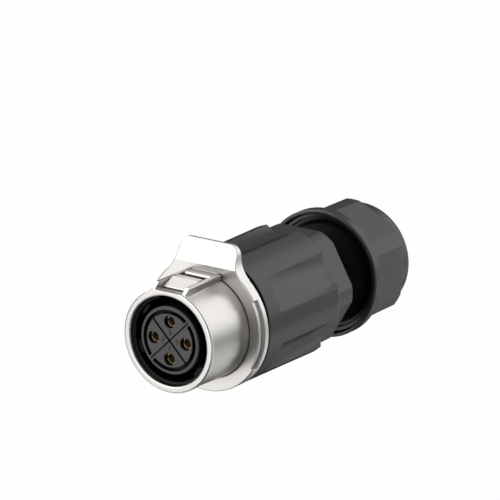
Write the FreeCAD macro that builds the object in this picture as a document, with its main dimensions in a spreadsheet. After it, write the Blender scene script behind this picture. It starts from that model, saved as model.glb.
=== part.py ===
import FreeCAD, Part
import Sketcher
import math
import os
import re

# Four-contact waterproof cable plug with a thumb-released latch.
# The axis is Z. The cable end is at the bottom and the mating end at the top.
# The origin is at the centre of the gland nut's end face, and the thumb tab points to +Y.

os.makedirs("parts", exist_ok=True)
doc = FreeCAD.newDocument("cable_plug")

SIZES = (
    ("nut_length", 22.5, "gland nut, end face to flange lip"),
    ("nut_gap", 9.85, "bare thread between the nut's lip and the hexagon of the grip body"),
    ("hex_length", 8.85, "hexagon of the grip body"),
    ("grip_length", 26.2, "fluted length of the grip body"),
    ("collar_length", 6.0, "plain collar of the grip body"),
    ("ring_gap", 0.4, "gap between the grip body and the release ring"),
    ("ring_length", 3.4, "release ring, along the axis"),
    ("barrel_length", 16.3, "barrel ahead of the release ring"),

    ("grip_radius", 17.8, "grip body at its front face"),
    ("grip_swell", 0.57, "moulding draft: the grip body's rear above its front"),
    ("flute_half_angle", 16.0, "half of the angle that one flute takes"),
    ("flute_front_depth", 0.55, "depth of a flute below its edges, at its shallow front end"),
    ("flute_rear_depth", 1.8, "depth of a flute below its edges, at its deep rear end"),
    ("flute_count", 6, "flutes round the grip body"),
    ("hex_sink", 2.77, "flats of the grip body's hexagon below its rear lands"),
    ("hex_corner_rise", 1.4, "turned corners of that hexagon above its flats"),
    ("spigot_length", 18.85, "threaded spigot behind the hexagon"),
    ("spigot_sink", 2.2, "root of the spigot's thread below the flats of the hexagon"),
    ("thread_pitch", 1.5, "pitch of the gland nut's thread"),
    ("thread_ridge", 0.55, "ridge of the spigot's thread above its root"),
    ("thread_foot", 0.95, "width of that ridge at its foot"),
    ("thread_crest", 0.25, "width of that ridge at its crest"),
    ("thread_runout", 1.6, "plain spigot between the end of the thread and the hexagon"),
    ("socket_depth", 14.5, "bore of the grip body that takes the front shell"),
    ("socket_step", 1.0, "that bore inside the seat for the barrel"),
    ("counterbore_depth", 2.0, "seat for the barrel in the grip body"),
    ("chamber_bore", 12.0, "wiring chamber of the grip body"),
    ("passage_bore", 8.5, "passage between wiring chamber and gland"),
    ("passage_length", 3.4, "length of that passage"),
    ("spigot_wall", 2.2, "wall of the spigot round the clamp cage, below the thread"),
    ("gland_depth", 16.5, "depth of that bore"),
    ("front_relief", 1.1, "how far the grip body's face falls back at its top"),

    ("nut_hole", 7.0, "cable hole of the gland nut"),
    ("nut_end_wall", 5.5, "end wall of the gland nut"),
    ("thread_height", 0.65, "root of the spigot's thread to the root of the gland nut's thread"),
    ("nut_end_wall_radial", 1.45, "wall of the gland nut's round end"),
    ("nut_end_rounding", 2.0, "rounding of that end"),
    ("nut_wall", 2.03, "wall of the gland nut at a flat of its hexagon"),
    ("nut_corner_rise", 1.42, "turned corners of that hexagon above its flats"),
    ("nut_hex_length", 13.5, "hexagon of the gland nut"),
    ("nut_flange_rise", 0.47, "flange of the gland nut above the corners"),
    ("nut_lip_width", 1.0, "front face of the flange"),
    ("nut_mouth_step", 1.55, "inner step of the flange's mouth, outside the thread"),
    ("nut_mouth_depth", 1.8, "depth of the mouth's outer step"),
    ("nut_mouth_relief", 1.0, "depth of the mouth's inner step"),
    ("washer_thickness", 1.5, "thrust washer"),
    ("washer_gap", 0.55, "thrust washer inside the gland nut's bore"),
    ("washer_hole", 7.5, "thrust washer, hole"),
    ("cage_overhang", 1.2, "clamp cage beyond the end of the spigot"),
    ("gland_fit", 0.1, "clearance of the clamp cage in the spigot, and of the gland seal in the cage"),
    ("cage_wall", 1.5, "wall of the clamp cage"),
    ("cage_lip", 1.8, "inward lip at the seat of the clamp cage"),
    ("cage_lip_thickness", 1.2, "thickness of that lip"),
    ("cage_slot_count", 8, "slots between the fingers of the clamp cage"),
    ("cage_slot_width", 1.2, "width of a slot"),
    ("cage_slot_depth", 9.0, "depth of a slot"),
    ("gland_seal_hole", 6.2, "gland seal, cable hole"),
    ("gland_seal_length", 13.5, "gland seal, along the axis"),

    ("barrel_bore", 12.0, "mating bore of the barrel"),
    ("barrel_wall", 1.5, "wall of the barrel just behind its lip"),
    ("rim_rise", 0.3, "lip round the mouth of the barrel"),
    ("rim_length", 1.1, "length of that lip"),
    ("barrel_taper", 0.6, "how much the barrel's radius grows towards the release ring"),
    ("mating_depth", 14.0, "depth of the mating bore"),
    ("shoulder_gap", 0.95, "shoulder that stops the insert's flange, outside the insert's front part"),
    ("shoulder_thickness", 1.6, "thickness of that shoulder"),
    ("shell_fit", 0.1, "clearance of the front shell in the grip body, and of the insert in the shell"),
    ("shell_rear_length", 14.0, "front shell inside the grip body"),
    ("shell_wall", 1.6, "wall of the front shell inside the grip body"),
    ("seal_groove_root", 1.0, "radial depth of the shell seal's groove"),
    ("seal_groove_width", 1.4, "width of that groove"),
    ("seal_groove_depth", 2.8, "distance of the groove behind the grip body's face"),
    ("rim_rounding", 0.4, "rounding of the barrel's mouth"),

    ("rail_width", 1.2, "guide rail"),
    ("rail_rise", 0.05, "top of a guide rail above the latch arm"),
    ("rail_root", 0.5, "foot of a guide rail above the mating bore"),
    ("rail_ramp", 2.0, "mouth of the barrel to the end of a rail's sloped front"),
    ("rail_toe", 1.3, "foot of that slope above the mating bore"),
    ("rail_rounding", 0.35, "rounding of a rail's outer edge"),
    ("rail_end_gap", 0.4, "gap between guide rails and release ring"),
    ("channel_half_width", 4.15, "channel between the rails"),
    ("channel_sink", 0.4, "floor of the channel below the barrel just behind its lip"),
    ("channel_runout", 1.2, "channel behind the grip body's face, for the rocking arm"),
    ("window_half_width", 3.4, "latch window in the barrel"),
    ("window_front", 5.0, "mouth of the barrel to the front of the window"),
    ("window_rear", 12.7, "mouth of the barrel to the rear of the window"),

    ("ring_proud", 0.05, "release ring outside the grip body"),
    ("ring_clearance", 0.2, "release ring round the barrel"),
    ("recess_depth", 0.7, "side recesses in the ring's rim"),
    ("recess_length", 1.8, "length of the side recesses, from the ring's face"),
    ("recess_half_angle", 31.5, "half of the angle that one recess takes"),
    ("tab_half_width", 9.0, "thumb tab, half of its width"),
    ("tab_side", 0.1, "straight side of the thumb tab, between web and corner"),
    ("tab_bend", 16.4, "axis to the line from which the thumb tab's front leans back"),
    ("tab_tip", 0.95, "thickness of the thumb tab at its top"),
    ("tab_corner", 2.75, "upper corners of the thumb tab"),
    ("tab_web", 8.0, "hollow rounding between tab and ring"),
    ("arm_side_gap", 0.15, "gap between the latch arm and the guide rails"),
    ("arm_floor_gap", 0.2, "gap between the latch arm and the channel's floor"),
    ("arm_thickness", 1.35, "latch arm"),
    ("arm_nose", 3.0, "mouth of the barrel to the nose of the latch arm"),
    ("nose_crest", 8.0, "mouth of the barrel to the end of the nose's slope"),
    ("nose_rise", 0.2, "top of the nose above the latch arm"),
    ("catch_front", 9.6, "mouth of the barrel to the front of the catch slot"),
    ("catch_rear", 12.9, "mouth of the barrel to the rear of the catch slot"),
    ("catch_bevel", 0.35, "bevel at the rear of the catch slot"),
    ("leg_sink", 0.7, "legs beside the catch slot, below the top of the latch arm"),
    ("leg_width", 0.8, "width of a leg"),
    ("hook_side_gap", 0.3, "gap between the hook and the sides of the latch window"),
    ("hook_drop", 2.1, "hook below the latch arm"),
    ("hook_lead", 5.9, "mouth of the barrel to the start of the hook's slope"),
    ("hook_flat", 8.3, "mouth of the barrel to the end of the hook's slope"),
    ("pivot_height", 2.5, "face of the grip body to the pivot of the release ring"),
    ("pivot_radius", 0.75, "pivot pin"),
    ("pivot_clearance", 0.05, "running clearance of the release ring on the pins"),
    ("pivot_cover", 1.3, "outer end of a pivot pin inside the release ring's rim"),
    ("pivot_skin", 0.3, "inner end of a pivot pin outside the front shell's rear bore"),
    ("latch_spring_offset", 6.0, "latch spring, sideways from the axis"),
    ("latch_spring_share", 0.3, "radius of a latch spring's pocket, as a share of the ring's wall"),
    ("latch_spring_play", 0.285, "middle of the coil's wire to the pocket's wall"),
    ("latch_spring_wire", 0.13, "radius of the wire"),
    ("latch_spring_pitch", 0.85, "pitch of the coil"),
    ("ring_pocket_depth", 2.2, "spring pocket in the release ring"),
    ("body_pocket_depth", 2.4, "spring pocket in the grip body"),

    ("insert_radius", 9.05, "contact insert, front part"),
    ("insert_setback", 0.8, "mouth of the barrel to the insert's face"),
    ("insert_flange_thickness", 3.0, "thickness of that flange"),
    ("contact_count", 4, "contacts"),
    ("contact_circle", 5.0, "axis to the centre of a contact"),
    ("contact_mouth", 1.7, "contact holes in the insert's face"),
    ("contact_fit", 0.03, "clearance of a contact in its hole"),
    ("insert_rim", 0.85, "rim outside the circular groove in the insert's face"),
    ("face_groove_width", 1.1, "width of that groove"),
    ("face_groove_depth", 1.5, "depth of that groove"),
    ("bridge_width", 1.3, "bridges across the circular groove"),
    ("cross_slot_width", 0.55, "slot between the quadrants of the insert's face"),
    ("thin_slot_width", 0.35, "second slot, across the first one"),
    ("thin_slot_depth", 0.8, "depth of the second slot"),
    ("tube_radius", 1.6, "front tube of a socket contact"),
    ("pin_bore", 1.25, "bore for the mating pin"),
    ("pin_bore_depth", 10.0, "depth of that bore"),
    ("contact_setback", 1.2, "face of the insert to the mouth of a contact"),
    ("contact_collar_radius", 2.5, "collar of a contact"),
    ("contact_collar_length", 1.5, "length of that collar"),
    ("terminal_radius", 2.2, "terminal end of a contact"),
    ("terminal_length", 13.0, "length of the terminal end"),
    ("wire_bore", 1.5, "wire hole of the terminal"),
    ("wire_bore_depth", 8.0, "depth of the wire hole"),
    ("tine_slot_width", 0.35, "slots in the front tube"),
    ("tine_slot_depth", 6.0, "depth of those slots"),
    ("screw_radius", 1.0, "terminal screw"),
    ("screw_station", 3.0, "end of a contact to its terminal screw"),
    ("screw_head_gap", 0.3, "terminal screw beyond the terminal"),
    ("screw_point", 0.3, "terminal screw, from the contact's own axis to its point"),
    ("screw_socket_radius", 0.5, "drive socket of a terminal screw"),
    ("screw_socket_depth", 0.7, "depth of that socket"),
    ("rear_insulator_flange", 1.2, "flange of the rear insulator"),
    ("rear_insulator_length", 5.5, "rear insulator, along the axis"),
    ("rear_insulator_inset", 2.0, "hub of the rear insulator inside its flange"),
    ("retainer_length", 3.0, "retaining ring"),
    ("retainer_gap", 0.2, "retaining ring round that hub"),
    ("retainer_slot", 1.6, "spanner slots of the retaining ring"),
    ("sleeve_wall", 0.8, "keying sleeve"),
    ("sleeve_setback", 1.2, "mouth of the barrel to the keying sleeve"),
    ("key_height", 0.9, "keys of the keying sleeve, inwards"),
    ("key_half_width", 1.6, "keys of the keying sleeve, half of their width"),
    ("key_setback", 1.0, "front end of the keying sleeve to the keys"),
    ("interface_seal_thickness", 1.0, "interface seal"),
    ("seating", 0.05, "clearance of a part in the bore that holds it"),
    ("seal_fit", 0.01, "clearance of the shell seal in its groove"),
    ("fine_edge", 0.3, "small edge of a moulded part"),
    ("cast_edge", 0.2, "small edge of a metal part"),
    ("gland_edge", 1.0, "edges in the cable's way, along the axis"),
    ("gland_bevel", 0.8, "edges in the cable's way, sideways"),
    ("thread_lead", 0.6, "edge at the start of a thread"),
    ("nut_corner_lead", 0.8, "slope at the rear of the gland nut's corners"),
    ("drill_point", 0.8, "cone at the end of a drilled hole"),
    ("overcut", 1.0, "how far a cut runs past the surface that it opens"),
    ("overlap", 0.2, "how far an added form runs into the one that carries it"),
)

# Sizes that follow from the ones above.
TIES = {
    "grip_rear_radius": "grip_radius + grip_swell",
    "flute_front_radius": "grip_radius + grip_swell * collar_length / ( collar_length + grip_length )",
    "hex_apothem": "grip_rear_radius - hex_sink",
    "hex_corner_radius": "hex_apothem + hex_corner_rise",
    "spigot_radius": "hex_apothem - spigot_sink",
    "gland_bore": "spigot_radius - spigot_wall",
    "nut_bore": "spigot_radius + thread_height",
    "nut_end_radius": "nut_bore + nut_end_wall_radial",
    "nut_hex_apothem": "nut_bore + nut_wall",
    "nut_hex_corner": "nut_hex_apothem + nut_corner_rise",
    "nut_flange_radius": "nut_hex_corner + nut_flange_rise",
    "nut_lip_radius": "nut_flange_radius - nut_lip_width",
    "nut_step_radius": "nut_bore + nut_mouth_step",
    "washer_radius": "nut_bore - washer_gap",
    "cage_radius": "gland_bore - gland_fit",
    "cage_bore": "cage_radius - cage_wall",
    "cage_lip_bore": "cage_bore - cage_lip",
    "gland_seal_radius": "cage_bore - gland_fit",
    "neck_radius": "barrel_bore + barrel_wall",
    "rim_radius": "neck_radius + rim_rise",
    "barrel_radius": "neck_radius + barrel_taper",
    "shoulder_bore": "insert_radius + shoulder_gap",
    "socket_bore": "barrel_radius - socket_step",
    "shell_thread_radius": "socket_bore - shell_fit",
    "retainer_bore": "shell_thread_radius - shell_wall",
    "seal_groove_radius": "shell_thread_radius - seal_groove_root",
    "insert_flange_radius": "retainer_bore - shell_fit",
    "rear_insulator_radius": "insert_flange_radius - rear_insulator_inset",
    "retainer_hole": "rear_insulator_radius + retainer_gap",
    "face_groove_outer": "insert_radius - insert_rim",
    "face_groove_inner": "face_groove_outer - face_groove_width",
    "channel_floor": "neck_radius - channel_sink",
    "arm_half_width": "channel_half_width - arm_side_gap",
    "arm_under": "channel_floor + arm_floor_gap",
    "arm_top": "arm_under + arm_thickness",
    "leg_top": "arm_top - leg_sink",
    "leg_inner": "arm_half_width - leg_width",
    "hook_half_width": "window_half_width - hook_side_gap",
    "hook_tip": "arm_under - hook_drop",
    "rail_side": "channel_half_width + rail_width",
    "rail_top": "arm_top + rail_rise",
    "rail_foot": "barrel_bore + rail_root",
    "ring_radius": "grip_radius + ring_proud",
    "ring_bore": "barrel_radius + ring_clearance",
    "recess_radius": "ring_radius - recess_depth",
    "pivot_reach": "ring_radius - pivot_cover",
    "pivot_root": "retainer_bore + pivot_skin",
    "spring_circle": "( ring_radius + ring_bore ) / 2",
    "latch_spring_pocket": "( ring_radius - ring_bore ) * latch_spring_share",
    "latch_spring_coil": "latch_spring_pocket - latch_spring_play",
    "latch_spring_height": "sqrt( pow( spring_circle ; 2 ) - pow( latch_spring_offset ; 2 ) )",
    "web_across": "tab_half_width + tab_web",
    "web_reach": "ring_radius + tab_web",
    "web_height": "sqrt( pow( web_reach ; 2 ) - pow( web_across ; 2 ) )",
    "tab_height": "web_height + tab_side + tab_corner",
}

# Angles of the keys in the mating bore, in degrees, counterclockwise from +X seen from the mating end.
KEY_ANGLES = (38, 142, 200, 318)

ALIASES = {alias for alias, value, meaning in SIZES}

sheet = doc.addObject("Spreadsheet::Sheet", "Sizes")
for row, (alias, value, meaning) in enumerate(SIZES, start=1):
    sheet.set("A%d" % row, alias)
    sheet.set("B%d" % row, str(value))
    sheet.set("C%d" % row, meaning)
    sheet.setAlias("B%d" % row, alias)
doc.recompute()


def size(expression):
    """Puts the sheet's name before each size that an expression uses."""
    return re.sub("[a-z_]+", lambda word: prefix(word.group()), expression)


def prefix(word):
    """The word, behind the sheet's name if it is one of the sizes, or what a tie says."""
    if word in TIES:
        return "( " + size(TIES[word]) + " )"
    return "Sizes." + word if word in ALIASES else word


def amount(expression):
    """Number that an expression over the sheet gives."""
    value = sheet.evalExpression(size(expression))
    return float(getattr(value, "Value", value))


# Stations on the axis, as expressions over the sheet.
HEX_REAR = "nut_length + nut_gap"
SPIGOT_REAR = HEX_REAR + " - spigot_length"
GRIP_REAR = HEX_REAR + " + hex_length"
GRIP_FRONT = GRIP_REAR + " + grip_length"
BODY_FRONT = GRIP_FRONT + " + collar_length"

# Heights above the front face of the grip body, for everything that stands on it.
RING_FRONT = "ring_gap + ring_length"
MOUTH = RING_FRONT + " + barrel_length"
CHAMBER_FLOOR = MOUTH + " - mating_depth"
SHOULDER_REAR = CHAMBER_FLOOR + " - shoulder_thickness"
FLANGE_REAR = SHOULDER_REAR + " - insert_flange_thickness"
INSERT_FACE = MOUTH + " - insert_setback"


def behind_mouth(distance):
    """Height of a point that lies a distance behind the mouth of the barrel."""
    return MOUTH + " - ( " + distance + " )"


def new_body(label, lift="0"):
    """Body with its own label, lifted along the axis by an expression."""
    body = doc.addObject("PartDesign::Body", label)
    body.Label = label
    if lift != "0":
        body.setExpression("Placement.Base.z", size(lift))
    return body


def origin_feature(body, role):
    """Plane or axis of a body's own origin."""
    return next(item for item in body.Origin.OriginFeatures if item.Role == role)


def new_sketch(body, name, plane, lift="0"):
    """Empty sketch on a plane of the body's origin, lifted along the plane's normal."""
    sketch = body.newObject("Sketcher::SketchObject", body.Label + "_" + name)
    sketch.AttachmentSupport = [(origin_feature(body, plane), "")]
    sketch.MapMode = "FlatFace"
    if lift != "0":
        sketch.setExpression("AttachmentOffset.Base.z", size(lift))
    return sketch


def tie(sketch, kind, expression, *where):
    """Dimension whose value is an expression over the sheet."""
    index = sketch.addConstraint(Sketcher.Constraint(kind, *where, amount(expression)))
    sketch.setExpression("Constraints[%d]" % index, size(expression))


def tie_point(sketch, curve, end, across, along):
    """Fixes one end of a curve by two expressions, or on an axis where one is zero."""
    for kind, axis, expression in (("DistanceX", -2, across), ("DistanceY", -1, along)):
        if expression == "0":
            sketch.addConstraint(Sketcher.Constraint("PointOnObject", curve, end, axis))
        else:
            tie(sketch, kind, expression, -1, 1, curve, end)


def arc_through(start, end, radius, turn):
    """Shorter arc from start to end, to the left for turn 1 and to the right for turn -1."""
    chord = end - start
    rise = math.sqrt(radius ** 2 - (chord.Length / 2) ** 2)
    left = FreeCAD.Vector(-chord.y, chord.x, 0).normalize()
    centre = (start + end) / 2 + left * rise * turn
    circle = Part.Circle(centre, FreeCAD.Vector(0, 0, 1), radius)
    first, last = (start, end) if turn > 0 else (end, start)
    angles = [math.atan2(point.y - centre.y, point.x - centre.x) for point in (first, last)]
    return Part.ArcOfCircle(circle, angles[0], angles[1])


def draw_loop(sketch, corners):
    """Closed outline through (x, y) corners. A corner may also hold the radius of an arc
    that leads to the next corner, and the side that the arc turns to."""
    places = [FreeCAD.Vector(amount(corner[0]), amount(corner[1]), 0) for corner in corners]
    first = sketch.GeometryCount
    count = len(corners)
    ends = []
    for index, corner in enumerate(corners):
        here = places[index]
        there = places[(index + 1) % count]
        if len(corner) > 2:
            turn = corner[3]
            sketch.addGeometry(arc_through(here, there, amount(corner[2]), turn), False)
            ends.append((1, 2) if turn > 0 else (2, 1))
        else:
            sketch.addGeometry(Part.LineSegment(here, there), False)
            ends.append((1, 2))
    for index in range(count):
        following = (index + 1) % count
        sketch.addConstraint(Sketcher.Constraint(
            "Coincident", first + index, ends[index][1], first + following, ends[following][0]))
    for index, corner in enumerate(corners):
        tie_point(sketch, first + index, ends[index][0], corner[0], corner[1])
        if len(corner) > 2:
            tie(sketch, "Radius", corner[2], first + index)


def draw_circle(sketch, radius, across="0", along="0"):
    """Circle of a radius about a point, all by expressions."""
    centre = FreeCAD.Vector(amount(across), amount(along), 0)
    circle = Part.Circle(centre, FreeCAD.Vector(0, 0, 1), amount(radius))
    index = sketch.addGeometry(circle, False)
    if across == "0" and along == "0":
        sketch.addConstraint(Sketcher.Constraint("Coincident", index, 3, -1, 1))
    else:
        tie_point(sketch, index, 3, across, along)
    tie(sketch, "Radius", radius, index)


def box_corners(left, right, low, high):
    """Corners of a rectangle."""
    return [(left, low), (right, low), (right, high), (left, high)]


def turned(body, name, corners):
    """Solid of revolution about the body's axis, from (radius, height) corners."""
    sketch = new_sketch(body, name + "_section", "XZ_Plane")
    draw_loop(sketch, corners)
    revolution = body.newObject("PartDesign::Revolution", body.Label + "_" + name)
    revolution.Profile = sketch
    revolution.ReferenceAxis = (sketch, ["V_Axis"])
    revolution.Angle = 360
    return revolution


def grooved(body, name, corners, angle="360"):
    """Groove about the body's axis. Less than a full turn lies evenly about +X."""
    sketch = new_sketch(body, name + "_section", "XZ_Plane")
    draw_loop(sketch, corners)
    groove = body.newObject("PartDesign::Groove", body.Label + "_" + name)
    groove.Profile = sketch
    groove.ReferenceAxis = (sketch, ["V_Axis"])
    groove.setExpression("Angle", size(angle))
    groove.Midplane = angle != "360"
    return groove


def raised(body, name, plane, corners, length, lift="0", both_ways=False):
    """Pad of an outline, along the plane's normal or evenly to both sides of it."""
    sketch = new_sketch(body, name + "_outline", plane, lift)
    draw_loop(sketch, corners)
    pad = body.newObject("PartDesign::Pad", body.Label + "_" + name)
    pad.Profile = sketch
    pad.setExpression("Length", size(length))
    pad.SideType = "Symmetric" if both_ways else "One side"
    return pad


def cut(body, name, plane, outlines, depth, lift="0", both_ways=False):
    """Pocket against the plane's normal, or evenly to both sides of it. An outline is a
    list of corners, or a (radius, x, y) circle."""
    sketch = new_sketch(body, name + "_outline", plane, lift)
    for outline in outlines:
        if isinstance(outline, tuple):
            draw_circle(sketch, *outline)
        else:
            draw_loop(sketch, outline)
    pocket = body.newObject("PartDesign::Pocket", body.Label + "_" + name)
    pocket.Profile = sketch
    pocket.setExpression("Length", size(depth))
    pocket.SideType = "Symmetric" if both_ways else "One side"
    return pocket


def repeated(body, feature, count):
    """Feature repeated round the body's axis."""
    doc.recompute()
    pattern = body.newObject("PartDesign::PolarPattern", feature.Name + "_pattern")
    pattern.Originals = [feature]
    pattern.Axis = (origin_feature(body, "Z_Axis"), [""])
    pattern.Angle = 360
    pattern.setExpression("Occurrences", size(count))
    body.Tip = pattern
    return pattern


def mirrored(body, feature):
    """Feature repeated on the other side of the YZ plane."""
    doc.recompute()
    mirror = body.newObject("PartDesign::Mirrored", feature.Name + "_mirror")
    mirror.Originals = [feature]
    mirror.MirrorPlane = (origin_feature(body, "YZ_Plane"), [""])
    body.Tip = mirror
    return mirror


def gland_nut():
    """Gland nut: round end with the cable hole, hexagon, and flange with a stepped mouth."""
    body = new_body("gland_nut")
    hex_rear = "nut_end_wall"
    hex_front = "nut_end_wall + nut_hex_length"
    turned(body, "blank", [
        ("nut_hole + gland_edge", "0"),
        ("nut_end_radius - nut_end_rounding", "0", "nut_end_rounding", 1),
        ("nut_end_radius", "nut_end_rounding"),
        ("nut_end_radius", hex_rear),
        ("nut_hex_apothem", hex_rear),
        ("nut_hex_corner", hex_rear + " + nut_corner_lead"),
        ("nut_hex_corner", hex_front),
        ("nut_flange_radius", hex_front + " + nut_flange_rise"),
        ("nut_flange_radius", "nut_length - fine_edge"),
        ("nut_flange_radius - fine_edge", "nut_length"),
        ("nut_lip_radius", "nut_length"),
        ("nut_lip_radius - fine_edge", "nut_length - nut_mouth_depth"),
        ("nut_step_radius", "nut_length - nut_mouth_depth"),
        ("nut_step_radius", "nut_length - nut_mouth_depth - nut_mouth_relief"),
        ("nut_bore", "nut_length - nut_mouth_depth - nut_mouth_relief"),
        ("nut_bore", "nut_end_wall"),
        ("nut_hole", "nut_end_wall"),
        ("nut_hole", "gland_edge"),
    ])
    beyond = box_corners("nut_hex_apothem", "nut_flange_radius + overcut",
                         "-nut_hex_corner", "nut_hex_corner")
    flat = cut(body, "flat", "XY_Plane", [beyond], "nut_hex_length", hex_front)
    repeated(body, flat, "6")


def thrust_washer():
    """Flat washer on which the gland nut turns while it presses the gland together."""
    body = new_body("thrust_washer", "nut_end_wall")
    turned(body, "disc", box_corners("washer_hole", "washer_radius", "0", "washer_thickness"))


def clamp_cage():
    """Clamp cage: a sleeve with spring fingers towards the gland nut and a lip at its seat."""
    body = new_body("clamp_cage", SPIGOT_REAR + " - cage_overhang")
    seat = "gland_depth + cage_overhang"
    turned(body, "sleeve", [
        ("cage_bore", "0"),
        ("cage_radius - gland_bevel", "0"),
        ("cage_radius", "gland_edge"),
        ("cage_radius", seat),
        ("cage_lip_bore", seat),
        ("cage_lip_bore", seat + " - cage_lip_thickness"),
        ("cage_bore", seat + " - cage_lip_thickness"),
    ])
    half = "cage_slot_width / 2"
    gap = box_corners("cage_lip_bore", "cage_radius + overcut", "-" + half, half)
    slot = cut(body, "slot", "XY_Plane", [gap], "cage_slot_depth + overcut", "cage_slot_depth")
    repeated(body, slot, "cage_slot_count")


def gland_seal():
    """Rubber sleeve that the clamp cage squeezes onto the cable."""
    body = new_body("gland_seal", SPIGOT_REAR + " + gland_depth - cage_lip_thickness - gland_seal_length")
    turned(body, "sleeve", [
        ("gland_seal_hole + gland_bevel", "0"),
        ("gland_seal_radius", "0"),
        ("gland_seal_radius", "gland_seal_length"),
        ("gland_seal_hole + gland_bevel", "gland_seal_length"),
        ("gland_seal_hole", "gland_seal_length - gland_edge"),
        ("gland_seal_hole", "gland_edge"),
    ])


def grip_body():
    """Grip body with a slight draft: collar, six flutes, hexagon and spigot, hollow all through."""
    body = new_body("grip_body", SPIGOT_REAR)
    hex_rear = "spigot_length"
    grip_rear = hex_rear + " + hex_length"
    grip_front = grip_rear + " + grip_length"
    front = grip_front + " + collar_length"
    turned(body, "blank", [
        ("gland_bore", "0"),
        ("spigot_radius - thread_lead", "0"),
        ("spigot_radius", "thread_lead"),
        ("spigot_radius", hex_rear),
        ("hex_corner_radius - fine_edge", hex_rear),
        ("hex_corner_radius", hex_rear + " + fine_edge"),
        ("hex_corner_radius", grip_rear),
        ("grip_rear_radius", grip_rear),
        ("grip_radius", front + " - fine_edge"),
        ("grip_radius - fine_edge", front),
        ("barrel_radius + seating", front),
        ("barrel_radius + seating", front + " - counterbore_depth"),
        ("socket_bore", front + " - counterbore_depth"),
        ("socket_bore", front + " - socket_depth"),
        ("chamber_bore", front + " - socket_depth"),
        ("chamber_bore", "gland_depth + passage_length"),
        ("passage_bore", "gland_depth + passage_length"),
        ("passage_bore", "gland_depth"),
        ("gland_bore", "gland_depth"),
    ])
    beyond = box_corners("-hex_corner_radius", "hex_corner_radius",
                         "hex_apothem", "hex_corner_radius + overcut")
    flat = cut(body, "flat", "XY_Plane", [beyond], "hex_length", grip_rear)
    repeated(body, flat, "6")
    flutes = flute_cutter(body, grip_rear, grip_front)
    repeated(body, flutes, "flute_count")
    spigot_thread(body)
    reach = "( grip_radius + overcut )"
    cut(body, "relief", "YZ_Plane",
        [[("0", front), (reach, front + " - front_relief * " + reach + " / grip_radius"),
          (reach, front + " + overcut"), ("0", front + " + overcut")]],
        "2 * " + reach, both_ways=True)
    cut(body, "spring_pockets", "XY_Plane", spring_places(), "body_pocket_depth", front)


def spigot_thread(body):
    """Right-hand thread of the spigot: one ridge that follows a helix."""
    sketch = new_sketch(body, "thread_section", "XZ_Plane")
    draw_loop(sketch, [
        ("spigot_radius - overlap", "thread_pitch - thread_foot / 2"),
        ("spigot_radius + thread_ridge", "thread_pitch - thread_crest / 2"),
        ("spigot_radius + thread_ridge", "thread_pitch + thread_crest / 2"),
        ("spigot_radius - overlap", "thread_pitch + thread_foot / 2"),
    ])
    ridge = body.newObject("PartDesign::AdditiveHelix", "grip_body_thread")
    ridge.Profile = sketch
    ridge.ReferenceAxis = (sketch, ["V_Axis"])
    ridge.Mode = "pitch-height-angle"
    ridge.setExpression("Pitch", size("thread_pitch"))
    ridge.setExpression("Height", size("spigot_length - thread_pitch - thread_runout"))


def spring_places():
    """Outlines of the pockets for the two latch springs, one each side of the thumb tab."""
    across = ("latch_spring_offset", "-latch_spring_offset")
    return [("latch_spring_pocket", place, "latch_spring_height") for place in across]


def flute_cutter(body, rear, front):
    """Tapered cutter for one flute: the same angle all along, and deeper towards the rear."""
    sections = []
    outer = "grip_rear_radius + overcut"
    outer_half = "( " + outer + " ) * tan( flute_half_angle )"
    stations = (("rear", rear, "grip_rear_radius", "flute_rear_depth"),
                ("front", front, "flute_front_radius", "flute_front_depth"))
    for name, height, radius, depth in stations:
        half_chord = radius + " * sin( flute_half_angle )"
        edge = radius + " * cos( flute_half_angle )"
        arc_radius = "( " + half_chord + " * " + half_chord + " + " + depth + " * " + depth + " )"
        arc_radius += " / ( 2 * " + depth + " )"
        sketch = new_sketch(body, "flute_" + name, "XY_Plane", height)
        draw_loop(sketch, [
            ("-" + half_chord, edge, arc_radius, 1),
            (half_chord, edge),
            (outer_half, outer),
            ("-" + outer_half, outer),
        ])
        sections.append(sketch)
    loft = body.newObject("PartDesign::SubtractiveLoft", "grip_body_flute")
    loft.Profile = sections[0]
    loft.Sections = sections[1:]
    loft.Ruled = True
    return loft


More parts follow.
